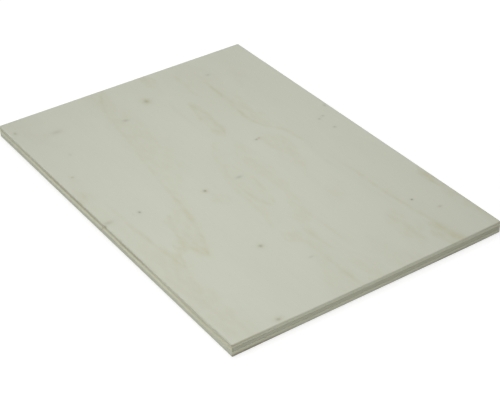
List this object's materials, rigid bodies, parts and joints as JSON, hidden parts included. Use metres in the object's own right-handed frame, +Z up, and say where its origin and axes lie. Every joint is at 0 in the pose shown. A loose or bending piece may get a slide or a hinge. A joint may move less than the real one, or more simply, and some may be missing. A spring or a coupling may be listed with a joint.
{
  "type": "plywood sheet",
  "caption": "Small flat sheet of pale unfinished poplar plywood, its cross-laid veneers showing as bands along the sawn edges; raw stock to cut, glue or screw.",
  "frame": {"origin": "middle of the underside, on the surface that the sheet lies on", "axes": "+X across the sheet, +Y along its length and the grain of its faces, +Z up, normal to the faces"},
  "size_m": [0.2, 0.29, 0.008],
  "materials": {
    "face_wood": "sanded, unfinished poplar veneer, grain along the sheet",
    "core_wood": "sawn poplar veneer, grain across the sheet",
    "back_wood": "sanded, unfinished poplar veneer, grain along the sheet"
  },
  "bodies": {
    "root": {"face_veneer": "face_wood", "core_veneer": "core_wood", "back_veneer": "back_wood"}
  },
  "joints": []
}
